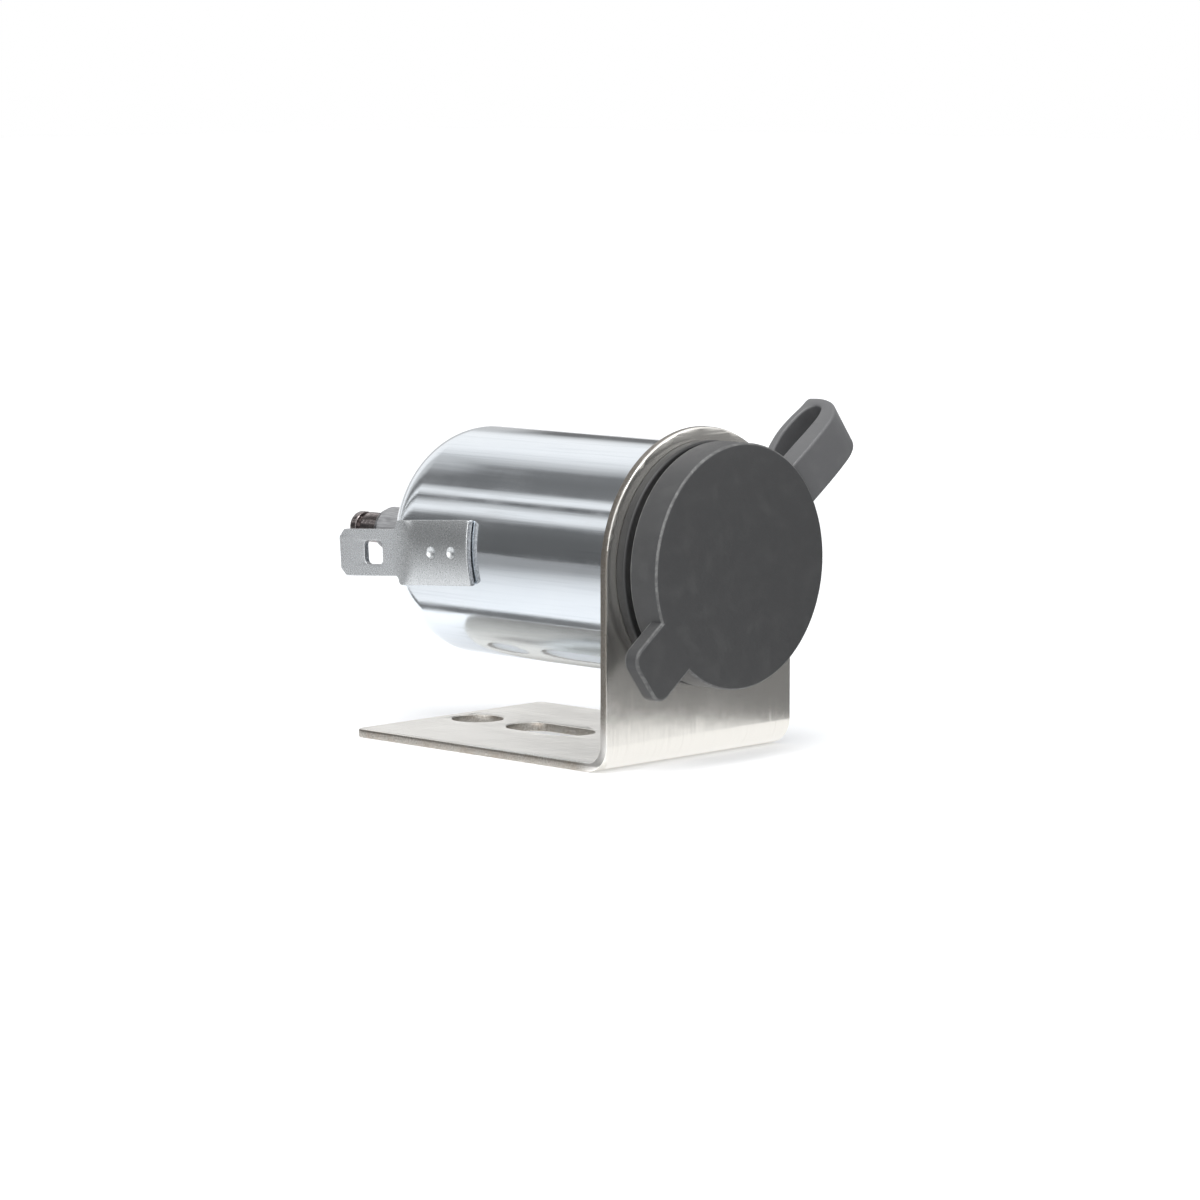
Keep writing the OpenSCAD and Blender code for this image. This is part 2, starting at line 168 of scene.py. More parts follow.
class Graph:
    """A material's node tree, with short calls for the nodes used here. Lengths are in mm."""

    def __init__(self, name):
        self.material = bpy.data.materials.new(name)
        self.material.use_nodes = True
        self.tree = self.material.node_tree
        self.tree.nodes.clear()
        output = self.tree.nodes.new("ShaderNodeOutputMaterial")
        self.shader = self.tree.nodes.new("ShaderNodeBsdfPrincipled")
        self.tree.links.new(self.shader.outputs["BSDF"], output.inputs["Surface"])
        place = self.tree.nodes.new("ShaderNodeTexCoord").outputs["Object"]
        self.place = self.vector("SCALE", place, scale=1 / MM)

    def link(self, source, socket):
        """Sets a socket to a value, or links it to an output."""
        if isinstance(source, bpy.types.NodeSocket):
            self.tree.links.new(source, socket)
        else:
            socket.default_value = source

    def set(self, **inputs):
        """Sets the shader's own sockets, with underscores for spaces."""
        for name, source in inputs.items():
            self.link(source, self.shader.inputs[name.replace("_", " ")])

    def vector(self, operation, first, second=None, scale=None):
        node = self.tree.nodes.new("ShaderNodeVectorMath")
        node.operation = operation
        self.link(first, node.inputs[0])
        if second is not None:
            self.link(second, node.inputs[1])
        if scale is not None:
            self.link(scale, node.inputs["Scale"])
        return node.outputs["Vector"]

    def math(self, operation, first, second=0.0):
        node = self.tree.nodes.new("ShaderNodeMath")
        node.operation = operation
        for value, socket in zip((first, second), node.inputs):
            self.link(value, socket)
        return node.outputs[0]

    def noise(self, scale=1.0, stretch=(1, 1, 1), detail=3.0, rough=0.55):
        """Noise from 0 to 1, with features of about 1 / scale mm, stretched by axis."""
        node = self.tree.nodes.new("ShaderNodeTexNoise")
        place = self.vector("MULTIPLY", self.place, tuple(1 / x for x in stretch))
        self.link(place, node.inputs["Vector"])
        node.inputs["Scale"].default_value = scale
        node.inputs["Detail"].default_value = detail
        node.inputs["Roughness"].default_value = rough
        return node.outputs["Fac"]

    def ramp(self, value, low, high, to_low=0.0, to_high=1.0):
        """Maps a value between low and high smoothly to another range."""
        node = self.tree.nodes.new("ShaderNodeMapRange")
        node.interpolation_type = "SMOOTHSTEP"
        for source, socket in zip((value, low, high, to_low, to_high), node.inputs):
            self.link(source, socket)
        return node.outputs[0]

    def mix(self, share, first, second):
        """Mixes two colours."""
        node = self.tree.nodes.new("ShaderNodeMix")
        node.data_type = "RGBA"
        self.link(share, node.inputs["Factor"])
        self.link(colour(first), node.inputs["A"])
        self.link(colour(second), node.inputs["B"])
        return node.outputs["Result"]

    def bump(self, height, depth, normal=None):
        """Turns a height from 0 to 1 into a normal, over a depth in mm."""
        node = self.tree.nodes.new("ShaderNodeBump")
        node.inputs["Strength"].default_value = 1.0
        node.inputs["Distance"].default_value = depth * MM
        self.link(height, node.inputs["Height"])
        if normal is not None:
            self.link(normal, node.inputs["Normal"])
        return node.outputs["Normal"]

    def axis(self, name):
        """One coordinate of the place, in mm."""
        node = self.tree.nodes.new("ShaderNodeSeparateXYZ")
        self.link(self.place, node.inputs[0])
        return node.outputs[name]

    def distance(self):
        """How far the place is from the origin, in mm."""
        node = self.tree.nodes.new("ShaderNodeVectorMath")
        node.operation = "LENGTH"
        self.link(self.place, node.inputs[0])
        return node.outputs["Value"]


def colour(source):
    """A colour with its alpha, or an output as it is."""
    if isinstance(source, bpy.types.NodeSocket):
        return source
    return (*source, 1.0)


# Materials


def rubber_material(name="rubber", wear_and_sheen=0.0, gloss=0.0, painted_tone=1.0):
    """Matt moulded rubber: dark grey, a fine grain, and faint paler dust. Wear and sheen, from 0
    to
    1, makes it paler in broken patches: wear on a handled edge, and a painted highlight along it.
    Gloss makes it smoother; a painted tone above 1 paints light on it, and below 1 painted shade."""
    g = Graph(name)
    dust = g.ramp(g.noise(0.35, detail=6), 0.45, 0.8)
    specks = g.ramp(g.noise(9, detail=2), 0.64, 0.74)
    grey = (0.056 * painted_tone, 0.056 * painted_tone, 0.057 * painted_tone)
    base = g.mix(dust, grey, (0.066 * painted_tone,) * 3)
    base = g.mix(g.math("MULTIPLY", specks, 0.3), base, (0.15, 0.15, 0.145))
    # Paler broken patches: wear on handled edges, and a painted highlight along them.
    if wear_and_sheen:
        rubbed_and_sheen = g.ramp(g.noise(0.9, detail=6, rough=0.75), 0.42, 0.68, 0.3 * wear_and_sheen, wear_and_sheen)
        base = g.mix(rubbed_and_sheen, base, (0.34, 0.34, 0.33))
    g.set(Base_Color=base, Roughness=g.ramp(dust, 0, 1, 0.46 - gloss, 0.58 - gloss))
    g.set(Specular_IOR_Level=0.5)
    grain = g.bump(g.noise(7, detail=4), 0.022)
    g.set(Normal=g.bump(g.noise(0.25, detail=2), 0.05, normal=grain))
    return g.material


def zinc_material():
    """Bright bluish zinc on the drawn shell, with faint streaks along the axis."""
    g = Graph("bright_zinc")
    streaks = g.noise(2.2, stretch=(1, 60, 1), detail=5)
    clouds = g.noise(0.12, detail=4)
    base = g.mix(clouds, (0.78, 0.83, 0.88), (0.88, 0.92, 0.96))
    base = g.mix(g.ramp(streaks, 0.5, 0.8, 0, 0.5), base, (0.66, 0.71, 0.76))
    g.set(Base_Color=base, Metallic=1.0)
    g.set(Roughness=g.ramp(g.math("ADD", streaks, clouds), 0.8, 1.3, 0.07, 0.16))
    fine = g.bump(streaks, 0.004)
    g.set(Normal=g.bump(g.noise(0.14, stretch=(1, 4, 1), detail=1), 0.06, normal=fine))
    return g.material


def bracket_material():
    """Satin nickel plate with a warm tint, faintly brushed along the strip."""
    g = Graph("bracket_face")
    brushed = g.noise(3.2, stretch=(1, 26, 26), detail=4)
    clouds = g.noise(0.11, detail=5)
    base = g.mix(clouds, (0.91, 0.885, 0.83), (0.96, 0.94, 0.895))
    base = g.mix(g.ramp(brushed, 0.5, 0.8, 0, 0.35), base, (0.80, 0.77, 0.71))
    g.set(Base_Color=base, Metallic=0.94)
    g.set(Roughness=g.ramp(g.math("ADD", brushed, clouds), 0.8, 1.3, 0.20, 0.26))
    fine = g.bump(brushed, 0.002)
    g.set(Normal=g.bump(g.noise(0.2, detail=2), 0.04, normal=fine))
    return g.material


def sheared_material():
    """Sheared edge of the sheet: rougher, speckled and browner, with painted shade darkening it
    up the upright and a painted highlight paling it at the front of the fold."""
    g = Graph("bracket_edge")
    specks = g.noise(6.5, stretch=(1, 1, 1.6), detail=5, rough=0.7)
    tint = g.noise(0.6, detail=3)
    base = g.mix(g.ramp(specks, 0.35, 0.6), (0.30, 0.27, 0.235), (0.60, 0.575, 0.535))
    base = g.mix(g.ramp(tint, 0.45, 0.75, 0, 0.5), base, (0.38, 0.31, 0.25))
    # Painted shade: darker from 3 mm to 10 mm above the floor, up the upright.
    base = g.mix(g.ramp(g.axis("Z"), 3, 10, 0, 0.55), base, (0.10, 0.085, 0.07))
    # Painted highlight: pale at the front of the fold, low down.
    painted_fold_highlight = g.math("MULTIPLY", g.ramp(g.axis("Y"), -36, -39.5), g.ramp(g.axis("Z"), 8, 3))
    base = g.mix(painted_fold_highlight, base, (0.92, 0.90, 0.87))
    g.set(Base_Color=base, Metallic=1.0, Roughness=g.ramp(specks, 0.3, 0.7, 0.48, 0.28))
    g.set(Normal=g.bump(specks, 0.05))
    return g.material


def dull_material():
    """Dull plated sheet of the blade, finely speckled."""
    g = Graph("dull_zinc")
    specks = g.noise(5.5, detail=4, rough=0.65)
    clouds = g.noise(0.4, detail=3)
    base = g.mix(g.ramp(specks, 0.35, 0.65), (0.68, 0.70, 0.715), (0.87, 0.89, 0.905))
    base = g.mix(g.ramp(clouds, 0.4, 0.7, 0, 0.3), base, (0.72, 0.74, 0.755))
    g.set(Base_Color=base, Metallic=g.ramp(g.axis("Y"), -4, 0, 0.92, 0.7))
    g.set(Roughness=g.ramp(specks, 0.3, 0.7, 0.32, 0.22))
    g.set(Normal=g.bump(specks, 0.012))
    return g.material


def metal_material(name, dark, pale, rough, scale=3.0, depth=0.01, stretch=(1, 1, 1)):
    """A plain metal whose colour and gloss vary between two tones."""
    g = Graph(name)
    grain = g.noise(scale, stretch=stretch, detail=4)
    tint = g.noise(0.5, detail=3)
    base = g.mix(g.ramp(grain, 0.35, 0.7), dark, pale)
    base = g.mix(g.ramp(tint, 0.45, 0.75, 0, 0.4), base, dark)
    g.set(Base_Color=base, Metallic=1.0)
    g.set(Roughness=g.ramp(grain, 0.3, 0.7, rough + 0.07, rough - 0.05))
    g.set(Normal=g.bump(grain, depth))
    return g.material


def plastic_material(name, dark, pale, rough, scale=4.0, stretch=(1, 1, 1)):
    """A plain moulded plastic or laminate."""
    g = Graph(name)
    grain = g.noise(scale, stretch=stretch, detail=4)
    g.set(Base_Color=g.mix(g.ramp(grain, 0.35, 0.7), dark, pale))
    g.set(Roughness=g.ramp(grain, 0.3, 0.7, rough + 0.08, rough - 0.05))
    g.set(Normal=g.bump(grain, 0.02))
    return g.material


# Mesh helpers


def rounded(corners, steps=5):
    """Closed outline from corners (a, b, fillet radius), each fillet as an arc."""
    points = []
    count = len(corners)
    for i, (a, b, radius) in enumerate(corners):
        here = Vector((a, b))
        if radius <= 0:
            points.append(here)
            continue
        before = (Vector(corners[i - 1][:2]) - here).normalized()
        after = (Vector(corners[(i + 1) % count][:2]) - here).normalized()
        half = before.angle(after) / 2
        reach = radius / tan(half)
        start, end = here + before * reach, here + after * reach
        centre = here + (before + after).normalized() * (radius / sin(half))
        first = start - centre
        sweep = first.angle_signed(end - centre)
        for k in range(steps + 1):
            turn = Matrix.Rotation(-sweep * k / steps, 2)
            points.append(centre + turn @ first)
    return [(p.x, p.y) for p in points]


def arc(a, b, radius, start, end, steps):
    """Points of an arc, with angles in degrees."""
    turns = [radians(start + (end - start) * k / steps) for k in range(steps + 1)]
    return [(a + radius * cos(t), b + radius * sin(t)) for t in turns]


def finish_piece(name, bm, matrix, materials, sharp=32.0, smooth=True):
    """Makes an object from a bmesh in mm, placed by a matrix and scaled to metres."""
    bmesh.ops.remove_doubles(bm, verts=bm.verts, dist=MERGE)
    bmesh.ops.recalc_face_normals(bm, faces=bm.faces)
    bmesh.ops.transform(bm, matrix=Matrix.Scale(MM, 4) @ matrix, verts=bm.verts)
    mesh = bpy.data.meshes.new(name)
    bm.to_mesh(mesh)
    bm.free()
    for material in materials:
        mesh.materials.append(material)
    if smooth:
        mesh.shade_smooth()
        mesh.set_sharp_from_angle(angle=radians(sharp))
    piece = bpy.data.objects.new(name, mesh)
    bpy.context.scene.collection.objects.link(piece)
    if smooth:
        weighted = piece.modifiers.new("normals", "WEIGHTED_NORMAL")
        weighted.keep_sharp = True
        weighted.weight = 80
    return piece


def skin(bm, rings, closed):
    """Joins each ring of points to the next. An open row of rings gets a face at each end."""
    following = rings[1:] + rings[:1] if closed else rings[1:]
    for here, there in zip(rings, following):
        for i in range(len(here)):
            j = (i + 1) % len(here)
            bm.faces.new((here[i], here[j], there[j], there[i]))
    if not closed:
        bm.faces.new(rings[0])
        bm.faces.new(list(reversed(rings[-1])))


def lathe_mesh(profile, segments=160, start=0.0, sweep=360.0):
    """Bmesh turned from a closed profile of (r, s). Less than a full turn is capped."""
    bm = bmesh.new()
    closed = sweep >= 360.0
    rings = []
    for k in range(segments if closed else segments + 1):
        turn = radians(start + sweep * k / segments)
        rings.append([bm.verts.new((r * cos(turn), r * sin(turn), s)) for r, s in profile])
    skin(bm, rings, closed)
    bmesh.ops.remove_doubles(bm, verts=bm.verts, dist=MERGE / 10)
    bmesh.ops.dissolve_degenerate(bm, dist=MERGE / 10, edges=bm.edges)
    return bm


def evaluated_copy(piece):
    """Replaces an object by a bmesh of its final shape, with any modifiers applied."""
    bpy.context.view_layer.update()
    graph = bpy.context.evaluated_depsgraph_get()
    mesh = bpy.data.meshes.new_from_object(piece.evaluated_get(graph))
    bpy.data.objects.remove(piece)
    bm = bmesh.new()
    bm.from_mesh(mesh)
    bpy.data.meshes.remove(mesh)
    return bm


def sheet_mesh(loops, thickness, bevel):
    """Bmesh of a flat sheet from closed outlines, the first outside, with rounded edges.
    It lies from z = 0 to z = thickness."""
    curve = bpy.data.curves.new("outline", "CURVE")
    curve.dimensions = "2D"
    curve.fill_mode = "BOTH"
    curve.extrude = thickness / 2 - bevel
    curve.bevel_depth = bevel
    curve.bevel_resolution = 1
    curve.offset = -bevel
    for loop in loops:
        spline = curve.splines.new("POLY")
        spline.points.add(len(loop) - 1)
        for point, (a, b) in zip(spline.points, loop):
            point.co = (a, b, 0, 1)
        spline.use_cyclic_u = True
    holder = bpy.data.objects.new("outline", curve)
    bpy.context.scene.collection.objects.link(holder)
    bm = evaluated_copy(holder)
    bpy.data.curves.remove(curve)
    bmesh.ops.remove_doubles(bm, verts=bm.verts, dist=MERGE)
    bmesh.ops.translate(bm, vec=(0, 0, thickness / 2), verts=bm.verts)
    return bm


def cut_lines(bm, axis, places):
    """Adds edges across a mesh at planes of constant x (axis 0) or y (axis 1)."""
    normal = Vector((1, 0, 0)) if axis == 0 else Vector((0, 1, 0))
    for place in places:
        everything = bm.verts[:] + bm.edges[:] + bm.faces[:]
        bmesh.ops.bisect_plane(bm, geom=everything, plane_co=normal * place, plane_no=normal)


def steps_between(low, high, step):
    """Evenly spaced places from low to high, about a step apart."""
    count = max(1, round((high - low) / step))
    return [low + (high - low) * k / count for k in range(count + 1)]


def smoothstep(value):
    """Smooth rise from 0 to 1 as the value does, level outside."""
    value = min(1.0, max(0.0, value))
    return value * value * (3 - 2 * value)


# Bracket

FOLD_OUT = FOLD_R + SHEET
FOLD_START = BRACKET_HIGH.y - PLATE_Y - FOLD_OUT
FOLD_LENGTH = (FOLD_R + SHEET / 2) * pi / 2
FOLD_END = FOLD_START + FOLD_LENGTH
SPRING_LINE = FOLD_END + AXIS_Z - FOLD_OUT


def flat_pattern():
    """Outline of the unfolded bracket and its holes: y runs from the rear edge up to the arch."""
    end = BRACKET_HIGH.y
    outline = arc(-ARCH_R + CORNER_R, CORNER_R, CORNER_R, 180, 270, 6)
    outline += arc(ARCH_R - CORNER_R, CORNER_R, CORNER_R, 270, 360, 6)
    outline += arc(0, SPRING_LINE, ARCH_R, 0, 180, 96)
    hole = arc(0, end, HOLE_R, 0, 360, 64)[:-1]
    straight = (SLOT_L - SLOT_W) / 2
    middle = end - SLOT_Y
    slot = arc(0, middle + straight, SLOT_W / 2, 0, 180, 32)
    slot += arc(0, middle - straight, SLOT_W / 2, 180, 360, 32)
    well = arc(0, SPRING_LINE, PANEL_R, 0, 360, 128)[:-1]
    return [outline, hole, slot, well]


def fold(point):
    """Folded place of a point of the flat sheet, whose z = 0 side turns outwards."""
    x, t, h = point
    if t <= FOLD_START:
        return Vector((x, BRACKET_HIGH.y - t, h))
    if t >= FOLD_END:
        return Vector((x, PLATE_Y + h, FOLD_OUT + t - FOLD_END))
    turn = (t - FOLD_START) / FOLD_LENGTH * pi / 2
    reach = FOLD_OUT - h
    centre_y, centre_z = PLATE_Y + FOLD_OUT, FOLD_OUT
    return Vector((x, centre_y - reach * sin(turn), centre_z - reach * cos(turn)))


SHEET_BEVEL = 0.25
# A face is sheared edge where less than this share of its normal is square to the sheet. From
# 3 mm above its springing, the front edge of the arch keeps the paler plate further round, as a
# painted highlight line.
EDGE_SHARE, HIGHLIGHT_SHARE = 0.8, 0.2
HIGHLIGHT_ABOVE = 3
FOLD_DIVISIONS = 14


def make_bracket(face, edge):
    """Bracket cut as a flat sheet, divided where it bends, and folded."""
    bm = sheet_mesh(flat_pattern(), SHEET, SHEET_BEVEL)
    fold_steps = steps_between(FOLD_START, FOLD_END, FOLD_LENGTH / FOLD_DIVISIONS)
    cut_lines(bm, 1, fold_steps + steps_between(2, FOLD_START - 2, 6))
    cut_lines(bm, 1, steps_between(FOLD_END + 3, SPRING_LINE + ARCH_R - 1, 6))
    cut_lines(bm, 0, steps_between(-ARCH_R + 2, ARCH_R - 2, 5))
    for side in bm.faces:
        middle = side.calc_center_median()
        # The arch's front bevel keeps the paler plate material: a painted highlight line.
        highlit = middle.z < SHEET_BEVEL and middle.y > SPRING_LINE + HIGHLIGHT_ABOVE
        share = HIGHLIGHT_SHARE if highlit else EDGE_SHARE
        side.material_index = 1 if abs(side.normal.z) < share else 0
    for vertex in bm.verts:
        vertex.co = fold(vertex.co)
    piece = finish_piece("bracket_sheet", bm, Matrix.Identity(4), [face, edge], sharp=40)
    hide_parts("bracket")
    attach(piece, "housing")


# Turned pieces on the socket's axis


def place_turned(name, node, slot, profile, material, **turning):
    """Turns a profile about the socket's axis, in place of a solid."""
    piece = finish_piece(name, lathe_mesh(profile, **turning), ON_AXIS, [material])
    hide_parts(node)
    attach(piece, "housing")


def shell_profile():
    """Drawn shell with a rounded shoulder and a hole in its rear wall."""
    front, back = along(SHELL_LOW.y), along(SHELL_HIGH.y)
    middle_r, shoulder = SHELL_R - SHOULDER_R, back + SHOULDER_R
    inner, edge = SHELL_R - SHELL_WALL, 0.15
    return [
        (NECK_HOLE_R, back), *arc(middle_r, shoulder, SHOULDER_R, 270, 360, 20),
        (SHELL_R, front - edge), (SHELL_R - edge, front), (inner, front), (inner, shoulder),
        *arc(middle_r, shoulder, SHOULDER_R - SHELL_WALL, 360, 270, 20)[1:],
        (NECK_HOLE_R, back + SHELL_WALL)
    ]


def well_profile():
    """Well with a flange, a rolled mouth, a narrower foot and a pierced floor."""
    back = along(WELL_HIGH.y)
    floor = back + WELL_WALL
    shoulder = floor + WELL_FOOT_H
    behind = shoulder - WELL_WALL
    foot, hole = WELL_R - WELL_FOOT_STEP, 4.0
    out, foot_out, seat_out = WELL_R + WELL_WALL, foot + WELL_WALL, SEAT_R + WELL_WALL
    flange_r, under = WELL_HIGH.x, WELL_FRONT - WELL_WALL
    # The seat of the cap's plug ends behind its tip, and the narrower bore starts.
    seat_end, bore_front = WELL_FRONT - PLUG_L - 0.8, WELL_FRONT - PLUG_L - 1.1
    lip = arc(SEAT_R + WELL_MOUTH_R, WELL_FRONT - WELL_MOUTH_R, WELL_MOUTH_R, 90, 180, 10)
    edge, turn, dish, heel = 0.2, 0.3, 1.0, 0.8
    return [
        (flange_r, under), (flange_r, WELL_FRONT - edge), (flange_r - edge, WELL_FRONT), *lip,
        (SEAT_R, seat_end), (WELL_R, bore_front), (WELL_R, shoulder + turn),
        (WELL_R - turn, shoulder), (foot, shoulder), (foot, floor + dish),
        (foot - turn, floor + turn), (foot - dish, floor), (hole, floor), (hole, back),
        (foot_out - heel, back), (foot_out, back + heel), (foot_out, behind), (out, behind),
        (out, bore_front), (seat_out, seat_end), (seat_out, under)
    ]


def ring_profile():
    """Rubber ring between the bracket and the well's flange."""
    return rounded([
        (PANEL_R, 0, 0), (RING_R, 0, 0.25), (RING_R, RING_FRONT, 0.35), (PANEL_R, RING_FRONT, 0)
    ])


def band_profile(inner, outer, node_low, node_high, edge=0.12):
    """Plain ring between the faces of a solid, with small rounded edges."""
    back, front = along(node_high.y), along(node_low.y)
    return rounded([
        (inner, back, edge), (outer, back, edge), (outer, front, edge), (inner, front, edge)
    ], steps=3)


def neck_profile():
    """Threaded neck: fine ridges where it stands free, and the collar at the well."""
    back, front = along(NECK_HIGH.y), along(NECK_LOW.y)
    outer, inner, collar = 4.0, 3.25, 3.0
    pitch, depth, crest = 0.75, 0.22, 0.02
    edge, lead, first = 0.2, 0.3, 0.15
    points = [(inner, back + edge), (inner + edge, back), (outer - lead, back)]
    turns = int((front - back - collar) / pitch)
    for k in range(turns):
        points.append((outer - depth, back + first + k * pitch))
        points.append((outer - crest, back + first + (k + 0.5) * pitch))
    return points + [(outer, back + edge + turns * pitch), (outer, front), (inner, front)]


def pin_profile():
    """Turned pin: shank, waist, taper, bullet body, groove and rounded nose."""
    front, back = along(PIN_LOW.y), along(PIN_HIGH.y)
    sleeve_back, clip_back = along(SLEEVE_HIGH.y), along(CLIP_HIGH.y)
    taper_l, body_l, groove_l = 1.9, 2.3, 0.9
    taper_back = sleeve_back - taper_l
    body_back = taper_back - body_l
    groove_back = body_back - groove_l
    shank, waist, nose_r, edge = 2.0, 1.55, 0.7, 0.1
    nose = arc(PIN_R - nose_r, back + nose_r, nose_r, 360, 270, 8)
    return [
        (0, front), (shank, front), (shank, sleeve_back), (waist, sleeve_back),
        (waist, clip_back), (PIN_R, taper_back),
        (PIN_R, body_back + edge), (PIN_R - edge, body_back), (waist, body_back),
        (waist, groove_back), (PIN_R - edge, groove_back), (PIN_R, groove_back - edge),
        *nose, (0, back)
    ]


def button_profile():
    """Domed button with a rounded rim, hollow behind for the pin."""
    back, front = along(BUTTON_HIGH.y), along(BUTTON_LOW.y)
    half, bore, chamfer = BUTTON_HIGH.x, 2.0, 0.15
    rim = back + 0.7
    rise = front - rim
    radius = (half * half + rise * rise) / (2 * rise)
    edge = degrees(acos(half / radius))
    dome = arc(0, front - radius, radius, edge, 90, 16)
    return [
        (bore, rim), (bore, back), (half - chamfer, back), (half, back + chamfer), *dome
    ]


def make_turned(materials):
    """Every piece that is turned about the socket's axis."""
    zinc, steel, nickel = materials["zinc"], materials["hardware"], materials["nickel"]
    spring = materials["spring"]
    place_turned("shell_drawn", "clamp_shell", "bright_zinc", shell_profile(), zinc,
                 segments=224)
    place_turned("well_drawn", "socket_well", "well_steel", well_profile(), nickel,
                 segments=192)
    # The ring's rubber is darker: painted shade in the gap between the bracket and the cap.
    place_turned("ring_moulded", "strap_ring", "rubber", ring_profile(),
                 materials["rubber_painted_shade"], segments=192)
    place_turned("neck_threaded", "threaded_neck", "hardware_zinc", neck_profile(), steel)
    place_turned("washer_flat", "flat_washer", "hardware_zinc",
                 band_profile(NECK_HOLE_R, WASHER_HIGH.x, WASHER_LOW, WASHER_HIGH), steel)
    place_turned("washer_split", "lock_washer", "spring_steel",
                 band_profile(NECK_HOLE_R, LOCK_HIGH.x, LOCK_LOW, LOCK_HIGH), spring,
                 start=106, sweep=352)
    place_turned("pin_turned", "terminal_pin", "dark_brass", pin_profile(),
                 materials["brass"], segments=96)
    place_turned("clip_open", "pin_clip", "spring_steel",
                 band_profile(1.55, CLIP_HIGH.z - AXIS_Z, CLIP_LOW, CLIP_HIGH, edge=0.08),
                 spring, start=50, sweep=260, segments=64)
    place_turned("insulator_disc", "front_insulator", "brown_laminate",
                 band_profile(PIN_HOLE_R, DISC_HIGH.x, DISC_LOW, DISC_HIGH),
                 materials["laminate"])
    place_turned("sleeve_moulded", "insulating_sleeve", "grey_plastic",
                 band_profile(PIN_HOLE_R, SLEEVE_HIGH.x, SLEEVE_LOW, SLEEVE_HIGH, edge=0.4),
                 materials["plastic"], segments=96)
    place_turned("contact_button", "centre_contact", "well_steel", button_profile(), nickel,
                 segments=96)


def make_nut(material):
    """Hexagonal nut with both faces chamfered by a cone."""
    back, front = along(NUT_HIGH.y), along(NUT_LOW.y)
    half, count = NUT_HIGH.x, 144
    bore, countersink, sink, slope, rim = 3.7, 4.15, 0.4, 0.5, 0.1
    bm = bmesh.new()
    rings = []
    for k in range(count):
        turn = 2 * pi * k / count
        across = (turn + pi / 6) % (pi / 3) - pi / 6
        reach = half / cos(across)
        drop = (reach - half) * slope
        path = [
            (bore, back + sink), (countersink, back), (half - rim, back),
            (reach, back + drop + rim), (reach, front - drop - rim),
            (half - rim, front), (countersink, front), (bore, front - sink)
        ]
        rings.append([bm.verts.new((r * cos(turn), r * sin(turn), s)) for r, s in path])
    skin(bm, rings, closed=True)
    piece = finish_piece("nut_hexagonal", bm, ON_AXIS, [material], sharp=25)
    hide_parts("clamp_nut")
    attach(piece, "housing")


# Ground terminal

FOOT_START = 25.5
FOOT_RISE = 0.4
FOOT_L, FOOT_W, FOOT_CORNER = 13.3, 8.7, 0.3
BLADE_L, BLADE_W, BLADE_CORNER = 11.2, 6.3, 0.15
BLADE_CHAMFER = 1.0
BLADE_DROOP = 4.0
LATCH_FROM_TIP = 6.6
LATCH_L, LATCH_W, LATCH_CORNER = 3.5, 3.2, 0.7
TERMINAL_BEVEL = 0.08
# The soft bend from the curved foot to the flat blade: where it starts, how far it bows at the
# edges and how long it is.
BEND_START, BEND_BOW, BEND_L = 3.9, 0.04, 2.2
# Weld marks: their places from the foot's end, radius, depth, and the height and reach of the
# rim round them as shares of depth and radius.
WELDS = (3.0, 6.8)
WELD_R, WELD_DIP = 0.8, 0.35
WELD_RIM, WELD_REACH = 0.12, 1.35


def terminal_pattern():
    """Outline of the flat terminal from its foot to the blade's tip, and the latch hole."""
    tip = FOOT_L + BLADE_L
    half, wide = BLADE_W / 2, FOOT_W / 2
    turn = (wide - half) / 2 - 0.01
    near, narrow = tip - BLADE_CHAMFER, half - BLADE_CHAMFER
    outline = rounded([
        (0, -wide, FOOT_CORNER), (FOOT_L, -wide, turn), (FOOT_L, -half, turn),
        (near, -half, BLADE_CORNER), (tip, -narrow, BLADE_CORNER),
        (tip, narrow, BLADE_CORNER), (near, half, BLADE_CORNER),
        (FOOT_L, half, turn), (FOOT_L, wide, turn), (0, wide, FOOT_CORNER)
    ])
    middle = tip - LATCH_FROM_TIP
    latch = rounded([
        (middle + x * LATCH_L / 2, y * LATCH_W / 2, LATCH_CORNER) for x, y in SQUARE
    ])
    return [outline, latch]


def pressed(x, y, h):
    """Depth of a point of the sheet after the weld marks are pressed in: a dip with a faint rim
    on the outside, where h = 0, and a projection on the inside."""
    for mark in WELDS:
        r = hypot(x - mark, y) / WELD_R
        if r < WELD_REACH:
            rim = WELD_RIM * smoothstep(WELD_REACH - r) * (r > 1)
            outside = WELD_DIP * (max(0.0, 1 - r * r) - rim)
            inside = WELD_LIFT * smoothstep((1.2 - r) / 0.5)
            return h + outside * (1 - h / BLADE_T) + inside * (h / BLADE_T)
    return h


def wrap_terminal(point):
    """Place of a point of the flat terminal. The foot curves round the shell, the blade is
    flat."""
    x, y, h = point
    h = pressed(x, y, h)
    droop = radians(BLADE_DROOP)
    back = x * cos(droop) + y * sin(droop)
    up = -x * sin(droop) + y * cos(droop) + FOOT_RISE
    reach = SHELL_R + WELD_LIFT + BLADE_T - h
    curved = sqrt(reach * reach - up * up)
    bend_at = FOOT_L - BEND_START + BEND_BOW * up * up
    flat = smoothstep((x - bend_at) / BEND_L)
    out = curved + (reach - curved) * flat
    return Vector((-out, PLATE_Y + SHEET + FOOT_START + back, AXIS_Z + up))


